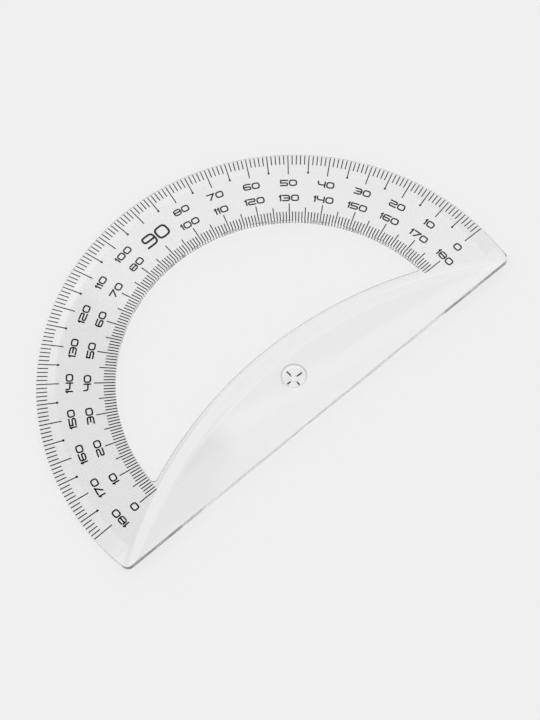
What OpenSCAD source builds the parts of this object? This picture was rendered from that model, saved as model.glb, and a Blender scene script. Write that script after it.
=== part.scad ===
// Clear student protractor for 180 degrees. A half-ring scale band and a raised crescent grip
// are one plastic moulding. Two degree scales are printed on its flat underside and are read
// through the plastic, one counting each way.
// Millimetres. The origin is the centre hole at the underside. +X points to the 0 of the outer
// scale, +Y to 90 degrees and +Z up.

/* [Scale band] */
// Radius of the round outer edge
rim_radius = 50; // [46:0.5:60]
// Width of the band between the outer edge and the window
band_width = 15.4; // [15:0.1:18]
// Thickness of the band
band_thickness = 1.4; // [1.2:0.1:2]
// Thickness left at the outer edge
edge_thickness = 0.9; // [0.5:0.1:1.1]
// Width of the sloped border along the outer edge
border_width = 3.75; // [2:0.25:5]

/* [Base] */
// Distance from the 0 to 180 line down to the straight edge
base_drop = 9; // [8:0.5:12]
// Radius of the two corners of the straight edge
base_corner_radius = 1.4; // [0.8:0.1:3]

/* [Grip] */
// Height of the middle of the window's lower edge above the 0 to 180 line
grip_rise = 8; // [7:0.5:12]
// How far outside the base corners the arc of that edge meets the base line
arc_overrun = 2.2; // [1:0.1:4]
// Radius of the window's two corners
window_corner_radius = 0.75; // [0.4:0.05:1.5]
// Width of the flat ledge between the window and the foot of the grip
ledge_width = 0.8; // [0.3:0.1:1.2]
// Height of the grip's crest above the band
grip_height = 0.5; // [0.3:0.05:0.8]
// Radius of the hollow arc and of the round one that lead from the foot of the grip to its crest
sweep_radius = 7; // [5:0.5:9]
// Reach of the slope that leads from the foot of the grip down to the sloped border at the two tips
toe_run = 4; // [3:0.5:5]
// Width of the crowned top between the crest and the straight edge
crown_width = 12.5; // [10:0.5:12.5]
// How far the crowned top falls from the crest to the straight edge
crown_fall = 0.25; // [0.1:0.05:0.4]

/* [Centre] */
// Radius of the hole that marks the centre
centre_hole_radius = 0.75; // [0.5:0.05:1]
// Radius of the dimple's floor
dimple_floor_radius = 1.9; // [1.4:0.05:2.1]
// Radius of the dimple where it meets the top of the grip
dimple_mouth_radius = 2.6; // [2.2:0.05:3]
// Thickness of the plastic under the dimple
dimple_floor_thickness = 1; // [0.5:0.1:1.2]
// Bare ring between the hole and the four marks round it
centre_mark_gap = 0.15; // [0.1:0.05:0.3]
// Length of each of those marks
centre_mark_length = 1.2; // [0.8:0.1:1.6]
// Width of those marks
centre_mark_width = 0.3; // [0.2:0.05:0.4]

/* [Scales] */
// Thickness of the printed ink
ink_thickness = 0.03; // [0.02:0.01:0.06]
// Bare strip between a scale and the edge that it is read at
scale_edge_gap = 0.05; // [0.05:0.05:0.3]
// Width of a tick
tick_width = 0.21; // [0.16:0.01:0.3]
// Length of the outer scale's one-degree ticks
outer_degree_length = 2.1; // [1.6:0.1:2.4]
// Length of the outer scale's five-degree ticks
outer_five_length = 3.9; // [3:0.05:4]
// Length of the outer scale's ten-degree ticks
outer_ten_length = 4.35; // [4.1:0.05:4.6]
// Radius of the dot that ends an outer five-degree tick
five_dot_radius = 0.23; // [0.18:0.01:0.3]
// Length of the inner scale's one-degree ticks
inner_degree_length = 2.3; // [1.8:0.1:2.6]
// Length of the inner scale's five-degree ticks
inner_five_length = 3.3; // [2.8:0.1:3.6]
// Length of the inner scale's ten-degree ticks
inner_ten_length = 4.2; // [3.8:0.1:4.4]

/* [Numerals] */
// Height of the outer scale's numerals
outer_numeral_height = 1.5; // [1.2:0.1:1.8]
// Height of the inner scale's numerals
inner_numeral_height = 1.5; // [1.2:0.1:1.7]
// Height of the large numeral that both scales share
ninety_height = 2.85; // [2.4:0.05:3.2]
// Distance from the outer edge to the middle of the outer numerals
outer_numeral_inset = 6.4; // [6.2:0.1:6.6]
// Distance from the window to the middle of the inner numerals
inner_numeral_inset = 5.5; // [5.3:0.1:5.7]
// Width of a digit as a share of its height
digit_aspect = 1.12; // [0.8:0.01:1.2]
// Width of the digit one as a share of its height
one_aspect = 0.34; // [0.3:0.01:0.5]
// Gap between digits as a share of their height
digit_gap = 0.08; // [0.05:0.01:0.12]
// Stroke of a digit as a share of its height
digit_stroke = 0.2; // [0.12:0.01:0.22]
// Width of a digit of the large numeral as a share of its height
ninety_aspect = 1.03; // [0.8:0.01:1.2]
// Stroke of the large numeral as a share of its height
ninety_stroke = 0.15; // [0.12:0.01:0.18]
// Rounding of a digit's corners as a share of its height
digit_corner = 0.3; // [0.2:0.01:0.4]

/* [Hidden] */
$fn = 96;

// Reach of the cutting shapes past the faces that they cut
cut_margin = 2;
// Straight pieces that make up a rounded corner of an outline
corner_steps = 8;
// Straight pieces in a full turn of the wide circle of the crown
crown_steps = 1800;
// Straight pieces that make up a rounded corner of a digit
stroke_steps = 3;
// Most of a stroke's leg that the rounding of one of its corners takes up
corner_share = 0.45;
// Steps of the scales, in degrees
five_step = 5;
ten_step = 10;
half_turn = 180;
right_angle = 90;
// Depth below the face of the band at which the grip's hollow arc starts level
foot_sink = 0.03;

window_radius = rim_radius - band_width;
crest_z = band_thickness + grip_height;
base_half_width = sqrt(rim_radius * rim_radius - base_drop * base_drop);
arc_chord = base_half_width + arc_overrun;
arc_sagitta = grip_rise + base_drop;
arc_radius = (arc_chord * arc_chord + arc_sagitta * arc_sagitta) / (2 * arc_sagitta);
arc_centre_y = grip_rise - arc_radius;
foot_radius = arc_radius - ledge_width;
foot_z = band_thickness - foot_sink;
toe_z = edge_thickness / 2;
sweep_rise = (grip_height + foot_sink) / 2;
sweep_run = arc_run(sweep_radius, sweep_rise);
sweep_start = foot_radius + arc_run(sweep_radius, foot_sink);
sweep_middle = sweep_start - sweep_run;
sweep_end = sweep_middle - sweep_run;

outer_tick_end = rim_radius - scale_edge_gap;
inner_tick_start = window_radius + scale_edge_gap;
outer_numeral_radius = rim_radius - outer_numeral_inset;
inner_numeral_radius = window_radius + inner_numeral_inset;
ninety_radius = (outer_numeral_radius + inner_numeral_radius) / 2;

clear_plastic = [0.92, 0.93, 0.93, 0.45];
black_ink = [0.06, 0.06, 0.07];

// Length over which an arc that starts level rises by a height
function arc_run(radius, rise) = sqrt(2 * radius * rise - rise * rise);

function polar(radius, angle) = radius * [cos(angle), sin(angle)];

function unit(v) = v / norm(v);

// Outline left over when a sharp corner is rounded with an arc about a centre
module corner_trim(centre, radius, from_angle, to_angle, corner) {
    turn = to_angle - from_angle;
    arc = [for (i = [0:corner_steps]) centre + polar(radius, from_angle + turn * i / corner_steps)];
    tip = corner + radius * unit(corner - centre);
    linear_extrude(crest_z + 2 * cut_margin) polygon(concat(arc, [tip]));
}

module both_sides() {
    children();
    mirror([1, 0, 0]) children();
}

// Flat band with the border that slopes down to the outer edge
module band_disc() {
    profile = [
        [0, 0],
        [rim_radius, 0],
        [rim_radius, edge_thickness],
        [rim_radius - border_width, band_thickness],
        [0, band_thickness],
    ];
    rotate_extrude() polygon(profile);
}

// Disc whose edge falls from the crest in a round arc, runs out in a hollow one at the foot of the grip
// and ends in a slope, which shows only where the border lies lower
module grip_disc() {
    foot = [
        [sweep_middle, 0],
        [sweep_start + toe_run, 0],
        [sweep_start + toe_run, toe_z],
        [sweep_start, foot_z],
        [sweep_start, crest_z - sweep_rise],
        [sweep_middle, crest_z - sweep_rise],
    ];
    translate([0, arc_centre_y]) rotate_extrude() {
        square([sweep_end, crest_z]);
        intersection() {
            translate([sweep_end, 0]) square([sweep_run, crest_z]);
            translate([sweep_end, crest_z - sweep_radius]) circle(sweep_radius);
        }
        difference() {
            polygon(foot);
            translate([sweep_start, foot_z + sweep_radius]) circle(sweep_radius);
        }
    }
}

// Bar whose crowned top falls from the crest to the straight edge
module grip_crown() {
    bar_length = 2 * (rim_radius + cut_margin);
    crest_y = crown_width - base_drop;
    crown_radius = (crown_width * crown_width + crown_fall * crown_fall) / (2 * crown_fall);
    rotate([right_angle, 0, right_angle]) translate([0, 0, -bar_length / 2]) linear_extrude(bar_length) {
        translate([crest_y, 0]) square([rim_radius, crest_z]);
        intersection() {
            translate([-base_drop, 0]) square([crown_width, crest_z]);
            translate([crest_y, crest_z - crown_radius]) circle(crown_radius, $fn = crown_steps);
        }
    }
}

// Round outline of the whole plate, cut straight along the base
module outline() {
    height = crest_z + 2 * cut_margin;
    translate([0, 0, -cut_margin]) intersection() {
        cylinder(h = height, r = rim_radius);
        translate([-rim_radius, -base_drop, 0]) cube([2 * rim_radius, rim_radius + base_drop, height]);
    }
}

// Point on the right where a circle about the origin meets one about the centre of the grip's arc
function arc_crossing(radius, arc_reach) =
    let (
        c = arc_centre_y,
        y = (radius * radius + c * c - arc_reach * arc_reach) / (2 * c)
    )
    [sqrt(radius * radius - y * y), y];

// Opening between the band and the grip, with rounded corners
module window() {
    corner = arc_crossing(window_radius, arc_radius);
    centre = arc_crossing(window_radius - window_corner_radius, arc_radius + window_corner_radius);
    from_angle = atan2(centre[1], centre[0]);
    to_angle = atan2(arc_centre_y - centre[1], -centre[0]);
    translate([0, 0, -cut_margin]) difference() {
        linear_extrude(crest_z + 2 * cut_margin) difference() {
            circle(window_radius);
            translate([0, arc_centre_y]) circle(arc_radius);
        }
        both_sides() corner_trim(centre, window_corner_radius, from_angle, to_angle, corner);
    }
}

// Tips that come off where the straight edge meets the round one
module base_corners() {
    y = base_corner_radius - base_drop;
    reach = rim_radius - base_corner_radius;
    x = sqrt(reach * reach - y * y);
    translate([0, 0, -cut_margin]) both_sides()
        corner_trim([x, y], base_corner_radius, atan2(y, x), -right_angle, [base_half_width, -base_drop]);
}

// Tapered dimple with the centre hole through its floor
module centre_dimple() {
    flare = (dimple_mouth_radius - dimple_floor_radius) / (crest_z - dimple_floor_thickness);
    cut_height = crest_z - dimple_floor_thickness + cut_margin;
    translate([0, 0, dimple_floor_thickness])
        cylinder(h = cut_height, r1 = dimple_floor_radius, r2 = dimple_floor_radius + flare * cut_height);
    translate([0, 0, -cut_margin])
        cylinder(h = crest_z + 2 * cut_margin, r = centre_hole_radius);
}

module clear_body() {
    color(clear_plastic) difference() {
        intersection() {
            outline();
            union() {
                band_disc();
                intersection() {
                    grip_disc();
                    grip_crown();
                }
            }
        }
        window();
        base_corners();
        centre_dimple();
    }
}

// One printed line that points away from the centre
module tick(angle, start, length, width) {
    rotate([0, 0, angle]) translate([start, -width / 2, -ink_thickness]) cube([length, width, ink_thickness]);
}

// Ticks at every step in degrees, without those that a coarser step takes over
module tick_row(step, coarser_step, start, length) {
    color(black_ink) for (angle = [0:step:half_turn])
        if (coarser_step == 0 || angle % coarser_step != 0) tick(angle, start, length, tick_width);
}

module outer_degree_ticks() {
    tick_row(1, five_step, outer_tick_end - outer_degree_length, outer_degree_length);
}

module outer_five_ticks() {
    start = outer_tick_end - outer_five_length;
    tick_row(five_step, ten_step, start, outer_five_length);
    color(black_ink) for (angle = [five_step:ten_step:half_turn])
        rotate([0, 0, angle]) translate([start, 0, -ink_thickness])
            cylinder(h = ink_thickness, r = five_dot_radius);
}

module outer_ten_ticks() {
    tick_row(ten_step, 0, outer_tick_end - outer_ten_length, outer_ten_length);
}

module inner_degree_ticks() {
    tick_row(1, five_step, inner_tick_start, inner_degree_length);
}

module inner_five_ticks() {
    tick_row(five_step, ten_step, inner_tick_start, inner_five_length);
}

module inner_ten_ticks() {
    tick_row(ten_step, 0, inner_tick_start, inner_ten_length);
}

// Centre line of a closed loop of a digit between two heights, in a square of side 1
function loop_line(bottom, top) =
    [[0.5, bottom], [1, bottom], [1, top], [0, top], [0, bottom], [0.5, bottom]];

// Open strokes of each digit in a square of side 1
digit_strokes = [
    [],
    [[[1, 0], [1, 1]], [[0, 0.8], [1, 0.95]]],
    [[[0, 1], [1, 1], [1, 0.5], [0, 0.5], [0, 0], [1, 0]]],
    [[[0, 1], [1, 1], [1, 0], [0, 0]], [[0.25, 0.5], [0.95, 0.5]]],
    [[[0, 1], [0, 0.4], [0.95, 0.4]], [[1, 0], [1, 1]]],
    [[[1, 1], [0, 1]], [[0, 1], [0, 0.5]], [[0, 0.5], [1, 0.5], [1, 0], [0, 0]]],
    [[[1, 1], [0, 1], [0, 0], [1, 0], [1, 0.5], [0.5, 0.5]], [[0.6, 0.5], [0.05, 0.5]]],
    [[[0, 1], [1, 1]], [[1, 1], [0.3, 0]]],
    [],
    [[[0, 0], [1, 0], [1, 1], [0, 1], [0, 0.5], [0.5, 0.5]], [[0.4, 0.5], [0.95, 0.5]]],
];

// Loops round the holes of the two digits that are closed on all sides
zero_loops = [loop_line(0, 1)];
eight_loops = [loop_line(0, 0.5), loop_line(0.5, 1)];
function digit_loops(digit) = digit == 0 ? zero_loops : digit == 8 ? eight_loops : [];

// Most that the rounding of a corner takes of one leg of a line: an end leg has only one corner
function leg_share(line, leg) = (leg == 0 || leg == len(line) - 2) ? 2 * corner_share : corner_share;

// Points of a line with each of its corners rounded by at most a radius
function rounded_line(line, radius) = [
    for (i = [0:len(line) - 1])
        if (i == 0 || i == len(line) - 1) line[i]
        else each rounded_corner(line, i, radius)
];

function rounded_corner(line, i, radius) =
    let (
        corner = line[i],
        before = line[i - 1] - corner,
        after = line[i + 1] - corner,
        reach = min(radius, leg_share(line, i - 1) * norm(before), leg_share(line, i) * norm(after)),
        start = corner + reach * unit(before),
        end = corner + reach * unit(after)
    )
    [for (step = [0:stroke_steps]) let (t = step / stroke_steps)
        (1 - t) * (1 - t) * start + 2 * t * (1 - t) * corner + t * t * end];

function left_of(v) = [-v[1], v[0]];

// Points beside a line, at a distance to its left
function beside(line, distance) = [
    for (i = [0:len(line) - 1])
        let (
            into = unit(line[max(i, 1)] - line[max(i, 1) - 1]),
            out = unit(line[min(i + 1, len(line) - 1)] - line[min(i, len(line) - 2)]),
            normal = unit(left_of(into) + left_of(out))
        )
        line[i] + normal * distance / (normal * left_of(into))
];

function reversed(points) = [for (i = [len(points) - 1:-1:0]) points[i]];

// A line made longer at both ends
function longer(line, reach) =
    let (last = len(line) - 1)
    [for (i = [0:last])
        i == 0 ? line[0] + reach * unit(line[0] - line[1])
        : i == last ? line[last] + reach * unit(line[last] - line[last - 1])
        : line[i]];

// Strip along an open line, with square ends
module strip_area(line, radius, width) {
    path = rounded_line(longer(line, width / 2), radius);
    polygon(concat(beside(path, width / 2), reversed(beside(path, -width / 2))));
}

// Area inside a loop, drawn in or out from its centre line
module loop_area(line, radius, inwards) {
    side = beside(rounded_line(line, radius), inwards);
    polygon([for (i = [1:len(side) - 1]) side[i]]);
}

function digit_width(digit, height, aspect) = height * (digit == 1 ? one_aspect : aspect);

// A line of the unit square, spread over the middle of a digit
function spread(line, span) = [for (p = line) [(p[0] - 0.5) * span[0], (p[1] - 0.5) * span[1]]];

// One digit, centred on its own width and height
module digit_area(digit, height, aspect, stroke) {
    span = [digit_width(digit, height, aspect) - stroke, height - stroke];
    radius = digit_corner * height;
    for (line = digit_strokes[digit]) strip_area(spread(line, span), radius, stroke);
    if (len(digit_loops(digit)) > 0) difference() {
        loop_area(spread(loop_line(0, 1), span), radius, -stroke / 2);
        for (line = digit_loops(digit)) loop_area(spread(line, span), radius, stroke / 2);
    }
}

function digits_of(value) = value < 10 ? [value] : concat(digits_of(floor(value / 10)), [value % 10]);

function sum_to(list, count) = count == 0 ? 0 : list[count - 1] + sum_to(list, count - 1);

// A number whose digits stand upright on a radius of the scale
module numeral(value, angle, radius, height, aspect, stroke_share) {
    digits = digits_of(value);
    widths = [for (digit = digits) digit_width(digit, height, aspect)];
    pitches = [for (width = widths) width + digit_gap * height];
    total = sum_to(pitches, len(digits)) - digit_gap * height;
    rotate([0, 0, angle - right_angle]) translate([-total / 2, radius, -ink_thickness])
        for (i = [0:len(digits) - 1])
            translate([sum_to(pitches, i) + widths[i] / 2, 0, 0])
                linear_extrude(ink_thickness) digit_area(digits[i], height, aspect, stroke_share * height);
}

module outer_numerals() {
    color(black_ink) for (angle = [0:ten_step:half_turn])
        if (angle != right_angle)
            numeral(angle, angle, outer_numeral_radius, outer_numeral_height, digit_aspect, digit_stroke);
}

module inner_numerals() {
    color(black_ink) for (angle = [0:ten_step:half_turn])
        if (angle != right_angle)
            numeral(half_turn - angle, angle, inner_numeral_radius, inner_numeral_height, digit_aspect,
                digit_stroke);
}

module shared_ninety() {
    color(black_ink)
        numeral(right_angle, right_angle, ninety_radius, ninety_height, ninety_aspect, ninety_stroke);
}

module centre_marks() {
    color(black_ink) for (angle = [0:right_angle:3 * right_angle])
        tick(angle, centre_hole_radius + centre_mark_gap, centre_mark_length, centre_mark_width);
}

clear_body();
outer_degree_ticks();
outer_five_ticks();
outer_ten_ticks();
inner_degree_ticks();
inner_five_ticks();
inner_ten_ticks();
outer_numerals();
inner_numerals();
shared_ninety();
centre_marks();
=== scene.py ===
"""Looks of a clear student protractor: its moulding, its printed scales and a pale studio to show it in."""

import math

import bmesh
import bpy
from bpy.props import FloatProperty, FloatVectorProperty, PointerProperty
from mathutils import Matrix, Vector


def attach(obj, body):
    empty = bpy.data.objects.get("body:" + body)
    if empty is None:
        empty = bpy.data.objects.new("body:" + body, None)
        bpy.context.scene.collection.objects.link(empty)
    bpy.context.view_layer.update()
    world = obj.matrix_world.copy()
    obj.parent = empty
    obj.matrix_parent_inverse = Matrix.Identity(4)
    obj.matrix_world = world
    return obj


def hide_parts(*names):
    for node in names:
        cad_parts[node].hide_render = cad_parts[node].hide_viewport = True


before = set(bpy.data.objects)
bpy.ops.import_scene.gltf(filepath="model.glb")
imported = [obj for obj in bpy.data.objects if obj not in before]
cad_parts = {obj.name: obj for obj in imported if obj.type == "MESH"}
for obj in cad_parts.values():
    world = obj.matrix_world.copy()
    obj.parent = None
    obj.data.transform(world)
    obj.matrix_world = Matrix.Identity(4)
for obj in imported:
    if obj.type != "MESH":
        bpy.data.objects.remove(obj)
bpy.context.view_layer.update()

bl_info = {
    "name": "Clear Protractor",
    "version": (1, 0, 0),
    "blender": (4, 5, 0),
    "location": "View3D > Sidebar > Protractor",
    "description": "Builds a clear plastic protractor with printed scales on a pale studio floor",
    "category": "Object",
}

MOULDING_NODE = "clear_body"
INK_NODES = sorted(set(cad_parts) - {MOULDING_NODE})

# A piece is shaped at one unit to the millimetre and brought to metres when it is finished
MM = 0.001
RIM_STEPS = 540
WINDOW_STEPS = 360
ARC_STEPS = 220
CORNER_STEPS = 14
SWEEP_STEPS = 12
CROWN_STEPS = 24
ROUND_STEPS = 3
CREASE_STEPS = 4
DIMPLE_STEPS = 128
HOLE_STEPS = 72

# Millimetres by which a shape or a cutter runs on past the place where it is trimmed or cuts through
OVERREACH = 2.0
FAR_REACH = 20.0
HEADROOM = 1.0

# Shares of the band's thickness at which the grip and its crowned top start, inside the plate
GRIP_FOOT = 0.3
CROWN_FOOT = 0.4
# Half of the angle, in degrees, that the grip is swept through
GRIP_HALF_TURN = 40

# Which edges are smoothed or rounded: heights and distances in millimetres, angles in degrees
LOW_EDGE = 0.3
SMOOTH_ANGLE = 20
ROUND_ANGLE = 40
MOUTH_MARGIN = 0.5
SEAM_MERGE = 0.02

# Material slots of the moulding
# The ring's material paints a grey ring of shade in the dimple
RING_SLOT = 1
# The base's material paints shade on the straight edge's wall, darkest at the tips
BASE_SLOT = 2

# Relief of the surfaces, and the height of the floor just below the print, in metres
FLOW_HEIGHT = 0.000004
INK_RELIEF = 0.000003
FLOOR_LEVEL = -0.000032

# The studio is laid out on a level plane one unit above the object, across it in x and along it in y.
# Each zone has the two values between which it sets in.
LAMP_SIDE = (0.238, 0.262)
LAMP_TURN = 0.55
LAMP_STRIP = (0.425, 0.450)
LAMP_END = (0.470, 0.484)
GAP_START = (0.285, 0.315)
GAP_END = (0.58, 0.64)
LAYOUT_ACROSS = (-0.6, -0.5)
LAYOUT_ALONG = (0.05, 0.15)
LAYOUT_HEIGHT = (0.56, 0.66)
BACK_WALL = (0.5, 0.7)
BACK_WAY = (0.5, 0.85)
LEAST_HEIGHT = 0.05

# Brightness of the studio's zones
LAMP_LEVEL = 1.25
STRIP_LEVEL = 1.6
PAST_LAMP_LEVEL = 0.75
SIDE_LEVEL = 0.8
PAST_GAP_LEVEL = 0.95
GAP_LEVEL = 0.0
ROOM_LEVEL = 1.0
BACK_LEVEL = 1.5


def size(name, description, default):
    """Property for a length of the object."""
    return FloatProperty(name=name, description=description, default=default, unit="LENGTH", precision=5)


class ProtractorMoulding(bpy.types.PropertyGroup):
    """Sizes of the clear moulding."""

    rim_radius: size("Rim radius", "Radius of the round outer edge", 0.04999)
    window_radius: size("Window radius", "Radius of the window's round edge", 0.0346)
    band_thickness: size("Band thickness", "Thickness of the scale band", 0.0014)
    edge_thickness: size("Edge thickness", "Thickness left at the outer edge", 0.0009)
    border_width: size("Border width", "Width of the sloped border", 0.00375)
    base_drop: size("Base drop", "Distance from the 0 to 180 line down to the straight edge", 0.009)
    base_corner: size("Base corner", "Radius of the two corners of the straight edge", 0.0014)
    grip_rise: size("Grip rise", "Height of the window's lower edge above the 0 to 180 line", 0.008)
    arc_overrun: size(
        "Arc overrun", "How far outside the base corners the grip's arc meets the base line", 0.0022)
    window_corner: size("Window corner", "Radius of the window's two corners", 0.00075)
    ledge_width: size("Ledge width", "Width of the ledge between the window and the grip", 0.0008)
    grip_height: size("Grip height", "Height of the grip's crest above the band", 0.0005)
    sweep_radius: size("Sweep radius", "Radius of the two arcs that lead up to the grip's crest", 0.007)
    toe_run: size("Toe run", "Reach of the slope from the foot of the grip down to the border", 0.004)
    crown_width: size("Crown width", "Width of the crowned top down to the straight edge", 0.0125)
    crown_fall: size("Crown fall", "How far the crowned top falls to the straight edge", 0.00025)
    foot_sink: size("Foot sink", "Depth below the band's face at which the lower arc starts", 0.00003)
    hole_radius: size("Hole radius", "Radius of the centre hole", 0.00075)
    dimple_floor: size("Dimple floor", "Radius of the floor of the dimple", 0.0019)
    dimple_mouth: size("Dimple mouth", "Radius of the dimple at the top of the grip", 0.0026)
    # The ring below the dimple's mouth is tinted grey as painted shade
    dimple_ring: size("Dimple ring", "Height of the tinted ring below the mouth of the dimple", 0.00036)
    dimple_thickness: size("Dimple thickness", "Thickness of the plastic under the dimple", 0.001)
    edge_round: size("Edge round", "Width of the rounding on the moulding's upper edges", 0.00007)
    crease_round: size("Crease round", "Reach of the rounding on its raised creases", 0.00025)


class ProtractorFinish(bpy.types.PropertyGroup):
    """Colours and gloss of the plastic and the ink, and the painted shade on the dimple's ring and on the
    straight edge's wall.
    """

    plastic_colour: FloatVectorProperty(
        name="Plastic", description="Tint of the clear plastic", subtype="COLOR",
        size=4, default=(1.0, 1.0, 1.0, 1.0))
    # Painted shade: a grey tint that darkens the dimple's wall just below its mouth
    ring_shade_colour: FloatVectorProperty(
        name="Ring", description="Tint of the ring below the mouth of the dimple", subtype="COLOR",
        size=4, default=(0.5, 0.5, 0.5, 1.0))
    plastic_ior: FloatProperty(
        name="Refraction", description="Refractive index of the plastic", default=1.55)
    # Painted shade: a grey tint darkens the straight edge's wall in its middle, and a near-black one paints
    # its dark ends at the tips
    base_wall_shade: FloatVectorProperty(
        name="Base", description="Tint of the wall of the straight edge in its middle", subtype="COLOR",
        size=4, default=(0.55, 0.55, 0.55, 1.0))
    tip_shade: FloatVectorProperty(
        name="Tip", description="Tint of the wall of the straight edge at the two tips", subtype="COLOR",
        size=4, default=(0.05, 0.05, 0.05, 1.0))
    # Distances at which the tips' painted shade sets in and is full
    tip_start: size("Tip start", "Distance from the middle at which the tint of the tips sets in", 0.024)
    tip_end: size("Tip end", "Distance from the middle at which the tint of the tips is full", 0.044)
    ink_colour: FloatVectorProperty(
        name="Ink", description="Colour of the printed ink", subtype="COLOR",
        size=4, default=(0.012, 0.012, 0.014, 1.0))


class ProtractorStage(bpy.types.PropertyGroup):
    """Floor, light and camera."""

    floor_colour: FloatVectorProperty(
        name="Floor", description="Colour of the pale floor", subtype="COLOR",
        size=4, default=(0.863, 0.863, 0.863, 1.0))
    floor_glow: FloatProperty(
        name="Glow share", description="Share of the open floor's brightness that no shadow takes",
        subtype="FACTOR", default=0.8)
    covered_glow: FloatProperty(
        name="Covered glow share", description="The same share for the floor that shows through the plastic",
        subtype="FACTOR", default=0.9)
    floor_glow_strength: FloatProperty(
        name="Glow strength", description="Brightness of the open floor's share against its colour",
        default=1.02)
    # The covered floor glows dimmer than the open floor: a painted shadow under the plastic
    covered_glow_strength: FloatProperty(
        name="Covered glow strength", description="Brightness of the covered floor's share", default=0.953)
    camera_place: FloatVectorProperty(
        name="Camera", description="Where the camera stands", subtype="XYZ",
        unit="LENGTH", default=(-0.10803, -0.12233, 0.36125))
    camera_aim: FloatVectorProperty(
        name="Aim", description="Point that the camera looks at", subtype="XYZ",
        unit="LENGTH", default=(-0.00103, 0.00587, 0.00105))
    camera_roll: FloatProperty(
        name="Roll", description="Turn of the camera about its own line of sight",
        subtype="ANGLE", default=math.radians(-1.43))
    camera_lens: FloatProperty(name="Lens", description="Focal length in millimetres", default=102.0)


def millimetres(group):
    """The sizes of a property group, in millimetres, by name."""
    return {name: getattr(group, name) / MM for name in group.__annotations__}


def deselect():
    """Leaves no object selected."""
    bpy.ops.object.select_all(action="DESELECT")


def activate(piece):
    """Makes a piece the only selected object."""
    deselect()
    piece.select_set(True)
    bpy.context.view_layer.objects.active = piece


def arc(centre, radius, start, end, steps):
    """Points of an arc between two angles in degrees, with both ends."""
    angles = [math.radians(start + (end - start) * i / steps) for i in range(steps + 1)]
    return [(centre[0] + radius * math.cos(a), centre[1] + radius * math.sin(a)) for a in angles]


def flat_face(name, places):
    """A face whose corners are a circle's, moved to the given places."""
    deselect()
    bpy.ops.mesh.primitive_circle_add(vertices=len(places), radius=1.0, fill_type="NGON")
    piece = bpy.context.object
    piece.name = name
    for vertex, place in zip(piece.data.vertices, places):
        vertex.co = place
    return piece


def close_up(merge=1e-5):
    """Merges the doubles of the piece in edit mode and turns its faces outwards."""
    bpy.ops.mesh.select_all(action="SELECT")
    bpy.ops.mesh.remove_doubles(threshold=merge)
    bpy.ops.mesh.normals_make_consistent(inside=False)
    bpy.ops.object.mode_set(mode="OBJECT")


def prism(name, places, way):
    """A face drawn out along a way."""
    piece = flat_face(name, places)
    bpy.ops.object.mode_set(mode="EDIT")
    bpy.ops.mesh.select_all(action="SELECT")
    bpy.ops.mesh.extrude_region_move(TRANSFORM_OT_translate={"value": way})
    close_up()
    return piece


def swept(name, places, centre, angle, steps):
    """A face swept about an upright axis."""
    piece = flat_face(name, places)
    bpy.ops.object.mode_set(mode="EDIT")
    bpy.ops.mesh.select_all(action="SELECT")
    bpy.ops.mesh.spin(steps=steps, angle=angle, center=centre, axis=(0, 0, 1), use_auto_merge=False)
    close_up()
    return piece


def put_in_order(piece):
    """Orders the corners, edges and faces of a piece by place, so that every run treats them alike."""
    mesh = bmesh.new()
    mesh.from_mesh(piece.data)
    for index, corner in enumerate(sorted(mesh.verts, key=lambda corner: corner.co[:])):
        corner.index = index
    mesh.verts.sort()
    for parts in (mesh.edges, mesh.faces):
        ordered = sorted(parts, key=lambda part: sorted(corner.index for corner in part.verts))
        for index, part in enumerate(ordered):
            part.index = index
        parts.sort()
    mesh.to_mesh(piece.data)
    mesh.free()


def combine(piece, tool, operation):
    """Joins, cuts or trims a piece with another, which is used up."""
    activate(piece)
    bpy.ops.object.modifier_add(type="BOOLEAN")
    modifier = piece.modifiers[-1]
    modifier.operation = operation
    modifier.solver = "EXACT"
    modifier.object = tool
    bpy.ops.object.modifier_apply(modifier=modifier.name)
    if not piece.data.polygons:
        raise RuntimeError(f"{piece.name} has no faces left after {operation} with {tool.name}")
    put_in_order(piece)
    mesh = tool.data
    bpy.data.objects.remove(tool)
    bpy.data.meshes.remove(mesh)


def grip_arc(s):
    """Height of the centre of the grip's arc, and its radius."""
    chord = math.sqrt(s["rim_radius"] ** 2 - s["base_drop"] ** 2) + s["arc_overrun"]
    sagitta = s["grip_rise"] + s["base_drop"]
    radius = (chord ** 2 + sagitta ** 2) / (2 * sagitta)
    return s["grip_rise"] - radius, radius


def plate(s):
    """Round plate that slopes down along its rim and reaches past the rim."""
    slope = (s["band_thickness"] - s["edge_thickness"]) / s["border_width"]
    height = s["edge_thickness"] - slope * OVERREACH
    deselect()
    bpy.ops.mesh.primitive_circle_add(
        vertices=RIM_STEPS, radius=s["rim_radius"] + OVERREACH, fill_type="NGON")
    piece = bpy.context.object
    bpy.ops.object.mode_set(mode="EDIT")
    bpy.ops.mesh.select_all(action="SELECT")
    bpy.ops.mesh.extrude_region_move(TRANSFORM_OT_translate={"value": (0, 0, height)})
    bpy.ops.mesh.inset(thickness=s["border_width"] + OVERREACH)
    bpy.ops.transform.translate(value=(0, 0, s["band_thickness"] - height))
    bpy.ops.mesh.region_to_loop()
    bpy.ops.mesh.bevel(offset=s["crease_round"], segments=CREASE_STEPS, affect="EDGES")
    close_up()
    return piece


def outline(s):
    """Places along the round rim, the two corners and the straight edge."""
    low = s["base_corner"] - s["base_drop"]
    reach = s["rim_radius"] - s["base_corner"]
    side = math.sqrt(reach ** 2 - low ** 2)
    tip = math.degrees(math.atan2(low, side))
    return (arc((side, low), s["base_corner"], -90, tip, CORNER_STEPS)
            + arc((0, 0), s["rim_radius"], tip, 180 - tip, RIM_STEPS)[1:-1]
            + arc((-side, low), s["base_corner"], 180 - tip, 270, CORNER_STEPS))


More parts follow.
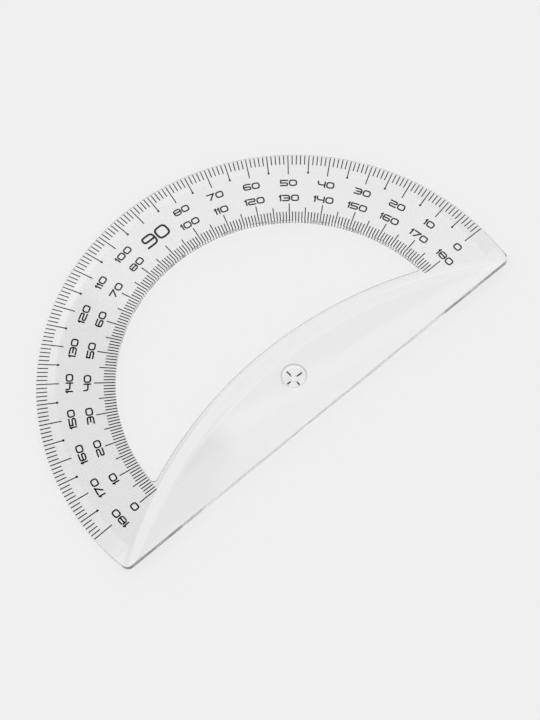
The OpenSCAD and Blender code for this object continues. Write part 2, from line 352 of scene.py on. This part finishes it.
def window(s):
    """Places along the window's round edge, its corners and the arc of the grip."""
    centre_y, radius = grip_arc(s)
    inner = s["window_radius"] - s["window_corner"]
    outer = radius + s["window_corner"]
    y = (inner ** 2 + centre_y ** 2 - outer ** 2) / (2 * centre_y)
    x = math.sqrt(inner ** 2 - y ** 2)
    top = math.degrees(math.atan2(y, x))
    foot = math.degrees(math.atan2(centre_y - y, -x))
    start = math.degrees(math.atan2(y - centre_y, x))
    return (arc((x, y), s["window_corner"], foot, top, CORNER_STEPS)
            + arc((0, 0), s["window_radius"], top, 180 - top, WINDOW_STEPS)[1:-1]
            + arc((-x, y), s["window_corner"], 180 - top, 180 - foot, CORNER_STEPS)
            + arc((0, centre_y), radius, 180 - start, start, ARC_STEPS)[1:-1])


def arc_run(radius, rise):
    """Length over which an arc that starts level rises by a height."""
    return math.sqrt(2 * radius * rise - rise ** 2)


def grip(s):
    """Sweep whose edge falls from the crest in a round arc and runs out in a hollow one at the foot."""
    centre_y, radius = grip_arc(s)
    bend = s["sweep_radius"]
    floor = s["band_thickness"] - s["foot_sink"]
    top = s["band_thickness"] + s["grip_height"]
    low = GRIP_FOOT * s["band_thickness"]
    run = arc_run(bend, (top - floor) / 2)
    turn = math.degrees(math.asin(run / bend))
    start = radius - s["ledge_width"] + arc_run(bend, s["foot_sink"])
    end = start - 2 * run
    inside = end - FAR_REACH
    toe = start + s["toe_run"]
    profile = [(inside, low), (toe, low), (toe, s["edge_thickness"] / 2)]
    profile += arc((start, floor + bend), bend, 270, 270 - turn, SWEEP_STEPS)
    profile += arc((end, top - bend), bend, 90 - turn, 90, SWEEP_STEPS)[1:]
    profile += [(inside, top)]
    half = math.radians(GRIP_HALF_TURN)
    places = [(-r * math.sin(half), centre_y + r * math.cos(half), z) for r, z in profile]
    return swept("grip", places, (0, centre_y, 0), 2 * half, ARC_STEPS)


def crown(s):
    """Bar with the crowned top that falls from the crest to the straight edge."""
    top = s["band_thickness"] + s["grip_height"]
    low = CROWN_FOOT * s["band_thickness"]
    bend = (s["crown_width"] ** 2 + s["crown_fall"] ** 2) / (2 * s["crown_fall"])
    crest = s["crown_width"] - s["base_drop"]
    turn = math.degrees(math.asin((s["crown_width"] + OVERREACH) / bend))
    profile = arc((crest, top - bend), bend, 90 + turn, 90, CROWN_STEPS)
    over, beyond = top + HEADROOM, crest + FAR_REACH
    profile += [(crest, over), (beyond, over), (beyond, low), (profile[0][0], low)]
    half = s["rim_radius"] + OVERREACH
    return prism("crown", [(-half, y, z) for y, z in profile], (2 * half, 0, 0))


def dimple(s, materials):
    """Tapered cutter of the centre dimple, with the second material near its mouth, whose grey tint paints a
    dark ring of shade.
    """
    depth = s["band_thickness"] + s["grip_height"] - s["dimple_thickness"]
    taper = (s["dimple_mouth"] - s["dimple_floor"]) / depth
    height = depth + OVERREACH
    deselect()
    bpy.ops.mesh.primitive_cone_add(
        vertices=DIMPLE_STEPS, radius1=s["dimple_floor"], radius2=s["dimple_floor"] + taper * height,
        depth=height, location=(0, 0, s["dimple_thickness"] + height / 2))
    bpy.ops.object.transform_apply(location=True, rotation=True, scale=True)
    piece = bpy.context.object
    ring = s["dimple_thickness"] + depth - s["dimple_ring"]
    bpy.ops.object.mode_set(mode="EDIT")
    bpy.ops.mesh.select_all(action="SELECT")
    bpy.ops.mesh.bisect(plane_co=(0, 0, ring), plane_no=(0, 0, 1))
    bpy.ops.object.mode_set(mode="OBJECT")
    for material in materials:
        piece.data.materials.append(material)
    # Faces above this height get the ring's painted shade
    for face in piece.data.polygons:
        if face.center.z > ring:
            face.material_index = RING_SLOT
    return piece


def centre_hole(s):
    """Cutter of the centre hole."""
    deselect()
    bpy.ops.mesh.primitive_cylinder_add(vertices=HOLE_STEPS, radius=s["hole_radius"], depth=FAR_REACH)
    return bpy.context.object


def paint_base_shade(piece, s):
    """Gives the wall of the straight edge its own material, which carries its painted shade."""
    for face in piece.data.polygons:
        if abs(face.normal.z) < 0.1 and face.center.y < s["base_corner"] - s["base_drop"]:
            face.material_index = BASE_SLOT


def mark_edges(piece, s):
    """Keeps the hollow creases of a piece sharp and weighs the upper edges that are to be rounded."""
    mesh = bmesh.new()
    mesh.from_mesh(piece.data)
    weight = mesh.edges.layers.float.new("bevel_weight_edge")
    for edge in mesh.edges:
        angle = math.degrees(edge.calc_face_angle())
        edge.smooth = edge.is_convex or angle < SMOOTH_ANGLE
        upper = min(corner.co.z for corner in edge.verts) > LOW_EDGE
        mouth = s["dimple_floor"] < edge.verts[0].co.xy.length < s["dimple_mouth"] + MOUTH_MARGIN
        edge[weight] = float(edge.is_convex and upper and angle > ROUND_ANGLE and not mouth)
    mesh.to_mesh(piece.data)
    mesh.free()


def finish_piece(piece, s):
    """Rounds the edges of a piece, smooths its curved faces and brings it to metres."""
    activate(piece)
    bpy.ops.object.mode_set(mode="EDIT")
    close_up(merge=SEAM_MERGE)
    bpy.ops.object.shade_smooth()
    mark_edges(piece, s)
    bpy.ops.object.modifier_add(type="BEVEL")
    bevel = piece.modifiers[-1]
    bevel.limit_method = "WEIGHT"
    bevel.width = s["edge_round"]
    bevel.material = 0
    bevel.segments = ROUND_STEPS
    bevel.use_clamp_overlap = False
    bpy.ops.object.modifier_apply(modifier=bevel.name)
    bpy.ops.object.mode_set(mode="EDIT")
    close_up()
    piece.scale = (MM, MM, MM)
    bpy.ops.object.transform_apply(location=True, rotation=True, scale=True)
    bpy.ops.object.modifier_add(type="WEIGHTED_NORMAL")
    weighted = piece.modifiers[-1]
    weighted.keep_sharp = True
    bpy.ops.object.modifier_apply(modifier=weighted.name)


def new_material(name):
    """A material with a Principled shader, and its nodes and links."""
    material = bpy.data.materials.new(name)
    material.use_nodes = True
    return material, material.node_tree.nodes, material.node_tree.links


def noise(nodes, links, scale, detail):
    """Noise on the piece's own coordinates, with so many features to the metre."""
    place = nodes.new("ShaderNodeTexCoord")
    pattern = nodes.new("ShaderNodeTexNoise")
    pattern.inputs["Scale"].default_value = scale
    pattern.inputs["Detail"].default_value = detail
    links.new(place.outputs["Object"], pattern.inputs["Vector"])
    return pattern.outputs["Fac"]


def spread(nodes, links, pattern, low, high):
    """The middle of a noise, spread between two values."""
    reach = nodes.new("ShaderNodeMapRange")
    reach.inputs["From Min"].default_value = 0.3
    reach.inputs["From Max"].default_value = 0.7
    reach.inputs["To Min"].default_value = low
    reach.inputs["To Max"].default_value = high
    links.new(pattern, reach.inputs["Value"])
    return reach.outputs["Result"]


def raised(nodes, links, pattern, height):
    """Normals of a surface that a noise lifts by up to a height."""
    bump = nodes.new("ShaderNodeBump")
    bump.inputs["Strength"].default_value = 1.0
    bump.inputs["Distance"].default_value = height
    links.new(pattern, bump.inputs["Height"])
    return bump.outputs["Normal"]


def shade_toward_tips(nodes, links, finish, colour, tip_shade):
    """Painted shade: a colour that goes over to another one on the way to the two tips."""
    place = nodes.new("ShaderNodeTexCoord")
    parts = nodes.new("ShaderNodeSeparateXYZ")
    links.new(place.outputs["Object"], parts.inputs[0])
    side = nodes.new("ShaderNodeMath")
    side.operation = "ABSOLUTE"
    links.new(parts.outputs["X"], side.inputs[0])
    reach = nodes.new("ShaderNodeMapRange")
    reach.interpolation_type = "SMOOTHSTEP"
    links.new(side.outputs[0], reach.inputs["Value"])
    reach.inputs["From Min"].default_value = finish.tip_start
    reach.inputs["From Max"].default_value = finish.tip_end
    shade = nodes.new("ShaderNodeMix")
    shade.data_type = "RGBA"
    shade.inputs["A"].default_value = colour
    shade.inputs["B"].default_value = tip_shade
    links.new(reach.outputs["Result"], shade.inputs["Factor"])
    return shade.outputs["Result"]


def clear_plastic(name, colour, finish, wear, tip_shade=None):
    """Polished clear plastic with faint flow waves and hairline wear."""
    material, nodes, links = new_material(name)
    shader = nodes["Principled BSDF"]
    shader.inputs["Base Color"].default_value = colour
    # A tip colour paints shade that grows toward the two tips
    if tip_shade:
        links.new(shade_toward_tips(nodes, links, finish, colour, tip_shade), shader.inputs["Base Color"])
    shader.inputs["Transmission Weight"].default_value = 1.0
    shader.inputs["IOR"].default_value = finish.plastic_ior
    grain = noise(nodes, links, scale=900.0, detail=4.0)
    links.new(spread(nodes, links, grain, wear, 3 * wear), shader.inputs["Roughness"])
    flow = noise(nodes, links, scale=90.0, detail=2.0)
    links.new(raised(nodes, links, flow, FLOW_HEIGHT), shader.inputs["Normal"])
    return material


def printed_ink(finish):
    """Matte printed ink with a fine uneven surface."""
    material, nodes, links = new_material("printed_ink")
    shader = nodes["Principled BSDF"]
    dark = tuple(0.7 * part for part in finish.ink_colour[:3])
    light = tuple(1.5 * part for part in finish.ink_colour[:3])
    patches = noise(nodes, links, scale=700.0, detail=3.0)
    shade = nodes.new("ShaderNodeMix")
    shade.data_type = "RGBA"
    shade.inputs["A"].default_value = (*dark, 1.0)
    shade.inputs["B"].default_value = (*light, 1.0)
    links.new(patches, shade.inputs["Factor"])
    links.new(shade.outputs["Result"], shader.inputs["Base Color"])
    links.new(spread(nodes, links, patches, 0.45, 0.7), shader.inputs["Roughness"])
    grain = noise(nodes, links, scale=9000.0, detail=2.0)
    links.new(raised(nodes, links, grain, INK_RELIEF), shader.inputs["Normal"])
    return material


def pale_floor(stage):
    """Pale floor that shows itself, and what is seen through clear plastic, with only a faint shadow; what
    is seen through the plastic glows dimmer, a painted shadow under it.
    """
    material, nodes, links = new_material("floor")
    shader = nodes["Principled BSDF"]
    shader.inputs["Base Color"].default_value = stage.floor_colour
    shader.inputs["Roughness"].default_value = 1.0
    shader.inputs["Specular IOR Level"].default_value = 0.0
    path = nodes.new("ShaderNodeLightPath")
    share = None
    for name, part in (("Is Camera Ray", stage.floor_glow), ("Is Glossy Ray", stage.covered_glow),
                       ("Is Transmission Ray", stage.covered_glow)):
        scaled = nodes.new("ShaderNodeMath")
        scaled.operation = "MULTIPLY"
        links.new(path.outputs[name], scaled.inputs[0])
        scaled.inputs[1].default_value = part
        if share:
            larger = nodes.new("ShaderNodeMath")
            larger.operation = "MAXIMUM"
            links.new(share.outputs[0], larger.inputs[0])
            links.new(scaled.outputs[0], larger.inputs[1])
            scaled = larger
        share = scaled
    glow = nodes.new("ShaderNodeEmission")
    glow.inputs["Color"].default_value = stage.floor_colour
    # Rays that come through the plastic get the lower glow strength: a painted shadow under the plastic
    strength = nodes.new("ShaderNodeMath")
    strength.operation = "MULTIPLY_ADD"
    links.new(path.outputs["Is Camera Ray"], strength.inputs[0])
    strength.inputs[1].default_value = stage.floor_glow_strength - stage.covered_glow_strength
    strength.inputs[2].default_value = stage.covered_glow_strength
    links.new(strength.outputs[0], glow.inputs["Strength"])
    mix = nodes.new("ShaderNodeMixShader")
    links.new(share.outputs[0], mix.inputs[0])
    links.new(shader.outputs[0], mix.inputs[1])
    links.new(glow.outputs[0], mix.inputs[2])
    links.new(mix.outputs[0], nodes["Material Output"].inputs["Surface"])
    return material


def studio_world():
    """White studio with a lamp box that has a bright edge, and a dark gap beside it, high up."""
    world = bpy.data.worlds.new("studio")
    world.use_nodes = True
    nodes, links = world.node_tree.nodes, world.node_tree.links

    def feed(socket, value):
        if isinstance(value, (int, float)):
            socket.default_value = value
        else:
            links.new(value, socket)

    def calc(operation, *values):
        node = nodes.new("ShaderNodeMath")
        node.operation = operation
        for socket, value in zip(node.inputs, values):
            feed(socket, value)
        return node.outputs[0]

    def ramp(value, low, high):
        node = nodes.new("ShaderNodeMapRange")
        node.interpolation_type = "SMOOTHSTEP"
        feed(node.inputs["Value"], value)
        feed(node.inputs["From Min"], low)
        feed(node.inputs["From Max"], high)
        return node.outputs["Result"]

    def mix(low, high, share):
        return calc("ADD", low, calc("MULTIPLY", share, calc("SUBTRACT", high, low)))

    place = nodes.new("ShaderNodeTexCoord")
    parts = nodes.new("ShaderNodeSeparateXYZ")
    links.new(place.outputs["Generated"], parts.inputs[0])
    x, y, z = parts.outputs
    up = calc("MAXIMUM", z, LEAST_HEIGHT)
    across, along = calc("DIVIDE", x, up), calc("DIVIDE", y, up)
    slant = calc("ADD", along, calc("MULTIPLY", across, LAMP_TURN))
    past_lamp = ramp(slant, *LAMP_END)
    strip = calc("MULTIPLY", ramp(slant, *LAMP_STRIP), calc("SUBTRACT", 1.0, past_lamp))
    right = mix(mix(LAMP_LEVEL, STRIP_LEVEL, strip), PAST_LAMP_LEVEL, past_lamp)
    gap = calc("MULTIPLY", ramp(along, *GAP_START), ramp(along, *reversed(GAP_END)))
    left = mix(mix(SIDE_LEVEL, PAST_GAP_LEVEL, ramp(along, *GAP_END)), GAP_LEVEL, gap)
    overhead = mix(left, right, ramp(across, *LAMP_SIDE))
    layout = calc("MULTIPLY", ramp(across, *LAYOUT_ACROSS), ramp(along, *LAYOUT_ALONG))
    layout = calc("MULTIPLY", layout, ramp(z, *LAYOUT_HEIGHT))
    toward_back = calc("ADD", calc("MULTIPLY", x, BACK_WAY[0]), calc("MULTIPLY", y, BACK_WAY[1]))
    room = mix(ROOM_LEVEL, BACK_LEVEL, ramp(toward_back, *BACK_WALL))
    level = mix(room, overhead, layout)
    links.new(level, nodes["Background"].inputs["Strength"])
    nodes["Background"].inputs["Color"].default_value = (1, 1, 1, 1)
    return world


class PROTRACTOR_OT_moulding(bpy.types.Operator):
    """Builds the clear moulding with its window, grip, dimple and hole"""

    bl_idname = "protractor.moulding"
    bl_label = "Clear moulding"

    def execute(self, context):
        scene = context.scene
        s = millimetres(scene.protractor_moulding)
        finish = scene.protractor_finish
        materials = (clear_plastic("clear_plastic", finish.plastic_colour, finish, wear=0.015),
                     # The ring's material paints a grey ring of shade in the dimple
                     clear_plastic("plastic_ring_painted_shade", finish.ring_shade_colour, finish, wear=0.06),
                     # The base's material paints shade on the straight edge's wall, darkest at the tips
                     clear_plastic("plastic_base_painted_shade", finish.base_wall_shade, finish, wear=0.03,
                                   tip_shade=finish.tip_shade))
        body = plate(s)
        for material in materials:
            body.data.materials.append(material)
        crescent = grip(s)
        combine(crescent, crown(s), "INTERSECT")
        combine(body, crescent, "UNION")
        low, high = -OVERREACH, 4 * OVERREACH
        combine(body, prism("outline", [(x, y, low) for x, y in outline(s)], (0, 0, high)), "INTERSECT")
        combine(body, prism("window", [(x, y, low) for x, y in window(s)], (0, 0, high)), "DIFFERENCE")
        combine(body, dimple(s, materials), "DIFFERENCE")
        combine(body, centre_hole(s), "DIFFERENCE")
        paint_base_shade(body, s)
        finish_piece(body, s)
        body.name = body.data.name = "moulding"
        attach(body, "root")
        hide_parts(MOULDING_NODE)
        return {"FINISHED"}


class PROTRACTOR_OT_ink(bpy.types.Operator):
    """Gives the printed ticks, numerals and centre marks their ink"""

    bl_idname = "protractor.ink"
    bl_label = "Printed ink"

    def execute(self, context):
        ink = printed_ink(context.scene.protractor_finish)
        for name in INK_NODES:
            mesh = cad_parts[name].data
            mesh.materials.clear()
            mesh.materials.append(ink)
        return {"FINISHED"}


class PROTRACTOR_OT_stage(bpy.types.Operator):
    """Sets the floor, the lights and the camera"""

    bl_idname = "protractor.stage"
    bl_label = "Studio"

    def execute(self, context):
        scene = context.scene
        stage = scene.protractor_stage
        deselect()
        bpy.ops.mesh.primitive_plane_add(size=8.0, location=(0, 0, FLOOR_LEVEL))
        floor = context.object
        floor.name = "floor"
        floor.data.materials.append(pale_floor(stage))

        scene.world = studio_world()
        scene.cycles.blur_glossy = 0.0
        scene.cycles.max_bounces = 48
        scene.cycles.glossy_bounces = 32
        scene.cycles.transmission_bounces = 32

        camera_data = bpy.data.cameras.new("camera")
        camera_data.lens = stage.camera_lens
        camera_data.sensor_width = 36.0
        camera_data.clip_start = 0.01
        camera = bpy.data.objects.new("camera", camera_data)
        scene.collection.objects.link(camera)
        place = Vector(stage.camera_place)
        look = (Vector(stage.camera_aim) - place).to_track_quat("-Z", "Y").to_matrix()
        turn = Matrix.Rotation(stage.camera_roll, 3, "Z")
        camera.matrix_world = Matrix.Translation(place) @ (look @ turn).to_4x4()
        scene.camera = camera
        scene.view_settings.view_transform = "Standard"
        return {"FINISHED"}


class PROTRACTOR_PT_panel(bpy.types.Panel):
    """Lists the sizes and the steps"""

    bl_idname = "PROTRACTOR_PT_panel"
    bl_label = "Protractor"
    bl_space_type = "VIEW_3D"
    bl_region_type = "UI"
    bl_category = "Protractor"

    def draw(self, context):
        for group in (context.scene.protractor_moulding, context.scene.protractor_finish,
                      context.scene.protractor_stage):
            box = self.layout.box()
            for name in group.__annotations__:
                box.prop(group, name)
        for operator in OPERATORS:
            self.layout.operator(operator.bl_idname)


OPERATORS = (PROTRACTOR_OT_moulding, PROTRACTOR_OT_ink, PROTRACTOR_OT_stage)
GROUPS = {
    "protractor_moulding": ProtractorMoulding,
    "protractor_finish": ProtractorFinish,
    "protractor_stage": ProtractorStage,
}


def register():
    """Registers the property groups, the operators and the panel."""
    for group in GROUPS.values():
        bpy.utils.register_class(group)
    for name, group in GROUPS.items():
        setattr(bpy.types.Scene, name, PointerProperty(type=group))
    for cls in (*OPERATORS, PROTRACTOR_PT_panel):
        bpy.utils.register_class(cls)


def unregister():
    """Takes them out again, in the opposite order."""
    for cls in (PROTRACTOR_PT_panel, *reversed(OPERATORS)):
        bpy.utils.unregister_class(cls)
    for name in GROUPS:
        delattr(bpy.types.Scene, name)
    for group in reversed(tuple(GROUPS.values())):
        bpy.utils.unregister_class(group)


def main():
    """Builds the scene."""
    register()
    bpy.ops.protractor.stage()
    bpy.ops.protractor.moulding()
    bpy.ops.protractor.ink()


if __name__ == "__main__":
    main()
